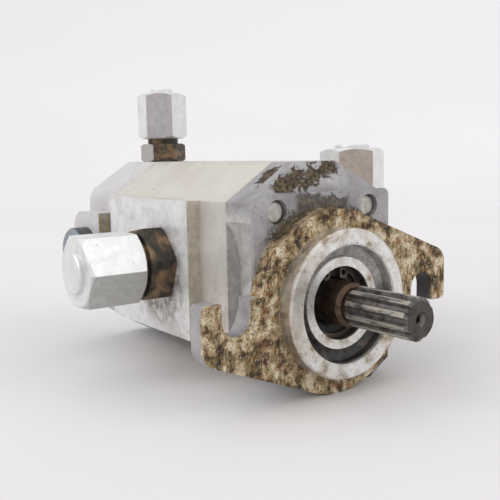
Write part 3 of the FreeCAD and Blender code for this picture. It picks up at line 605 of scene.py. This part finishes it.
def backdrop():
    """Pale round studio floor that curves up into its wall."""
    floor_z = CAD_BOX[0][2] - FLOOR_GAP
    profile = [(0.0, 0.0), (FLOOR_INNER_R, 0.0), (FLOOR_FLAT_R, 0.0)]
    for k in range(1, FLOOR_RINGS + 1):
        share = k / FLOOR_RINGS
        profile.append((FLOOR_FLAT_R + FLOOR_RISE_RUN * share, FLOOR_RISE * share ** 2))
    work = bmesh.new()
    points = [work.verts.new((r, 0, floor_z + h)) for r, h in profile]
    edges = [work.edges.new(pair) for pair in zip(points, points[1:])]
    bmesh.ops.spin(work, geom=points + edges, axis=(0, 0, 1), cent=(0, 0, 0), steps=FLOOR_SECTORS,
                   angle=math.tau, use_merge=True)
    bmesh.ops.remove_doubles(work, verts=work.verts, dist=1e-5)
    piece = smooth_object(work, "studio_floor")
    p = Paint("pale_paper", roughness=0.8, specular=0.2)
    paper = p.ramp(p.noise(400.0, 2.0), (0.4, (0.755, 0.745, 0.745)), (0.6, (0.775, 0.765, 0.765)))
    colour = p.mix(p.step(p.z, -0.03, 0.4), paper, (0.74, 0.735, 0.745))
    piece.data.materials.append(p.finish(colour))


def soft_light(name, toward, power, spread):
    """Broad even light that shines from the given direction; spread is its width in degrees."""
    data = bpy.data.lights.new(name, "SUN")
    data.energy = power
    data.angle = math.radians(spread)
    lamp = bpy.data.objects.new(name, data)
    lamp.location = toward
    lamp.rotation_mode = "QUATERNION"
    lamp.rotation_quaternion = (-Vector(toward)).to_track_quat("-Z", "Y")
    bpy.context.scene.collection.objects.link(lamp)


def lights():
    soft_light("top_light", (-0.25, 0.15, 1.1), 0.3, 60)
    soft_light("left_light", (-0.9, 0.1, 0.6), 0.95, 45)
    soft_light("right_light", (0.5, -0.85, 0.58), 0.55, 45)
    world = bpy.data.worlds.new("pale_room")
    world.use_nodes = True
    sky = world.node_tree.nodes["Background"]
    sky.inputs["Color"].default_value = (0.97, 0.96, 0.965, 1.0)
    sky.inputs["Strength"].default_value = 0.8
    bpy.context.scene.world = world
    bpy.context.scene.view_settings.view_transform = "Standard"


def camera():
    data = bpy.data.cameras.new("camera")
    data.lens = CAMERA_LENS
    data.sensor_width = SENSOR_WIDTH
    data.clip_start = 0.01
    cam = bpy.data.objects.new("camera", data)
    cam.location = CAMERA_AT
    level = math.cos(CAMERA_DOWN)
    ahead = Vector((math.sin(CAMERA_YAW) * level, math.cos(CAMERA_YAW) * level,
                    -math.sin(CAMERA_DOWN)))
    cam.rotation_mode = "QUATERNION"
    cam.rotation_quaternion = ahead.to_track_quat("-Z", "Y") @ Quaternion((0, 0, 1), -CAMERA_ROLL)
    bpy.context.scene.collection.objects.link(cam)
    bpy.context.scene.camera = cam


# ------------------------------------------------------------ the pump

def outer_looks(oily, body):
    """Finish and edge rounding in millimetres of each node that shows from outside."""
    return {
        "front_cover": (cast_cover(), 0.8),
        "rear_cover": (rear_cast(), 1.0),
        "pump_body": (body, 0.35),
        "drive_gear_shaft": (shaft_steel(), 0.15),
        # The tones and side masks here are painted shade and reflection on the zinc caps and painted
        # light on one side of the top adapter.
        "left_cap_nut": (plated("left_zinc", left_cap_underside, (0.57, 0.57, 0.555)), 0.3),
        "right_cap_nut": (plated("right_zinc", right_cap_side, (0.50, 0.43, 0.375)), 0.3),
        "top_cap_nut": (plated("top_zinc", top_cap_side, (0.49, 0.455, 0.475)), 0.25),
        "left_port_adapter": (oily, 0.25),
        "right_port_elbow": (oily, 0.3),
        "right_elbow_locknut": (oily, 0.25),
        "top_port_adapter": (oily_steel("top_oily_steel", top_adapter_side), 0.15),
        "rear_side_plug": (plug_steel(), 0.3),
        "through_bolts": (bolt_steel(), 0.2),
    }


def inner_finishes(oily, body):
    """Finish of each material slot for the nodes that keep their CAD shape."""
    rubber = plain("black_rubber", (0.012, 0.012, 0.012), (0.035, 0.033, 0.03), 3.0, 0.0, 0.6)
    bronze = plain("oiled_bronze", (0.28, 0.17, 0.07), (0.55, 0.38, 0.18), 4.0, 0.85, 0.4)
    ground = plain("ground_steel", (0.42, 0.42, 0.42), (0.62, 0.62, 0.63), 3.0, 0.95, 0.25)
    fluoro = plain("white_backup", (0.66, 0.63, 0.56), (0.80, 0.78, 0.72), 4.0, 0.0, 0.5)
    pressed = plain("pressed_steel", (0.05, 0.04, 0.032), (0.17, 0.14, 0.11), 3.0, 0.7, 0.45)
    return {"nitrile": rubber, "bronze": bronze, "ground_steel": ground, "ptfe": fluoro,
            "seal_steel": pressed, "bolt_steel": pressed, "fitting_steel": oily,
            "extruded_aluminium": body, "shaft_steel": ground}


def build():
    oily = oily_steel("oily_steel")
    body = extruded_body()
    looks = outer_looks(oily, body)
    for node, (material, width_mm) in looks.items():
        refined(node, width_mm, material)
    finish_of = inner_finishes(oily, body)
    for node, slot in SLOT_OF.items():
        if node not in looks:
            paint_node(node, finish_of[slot])


backdrop()
lights()
camera()
build()
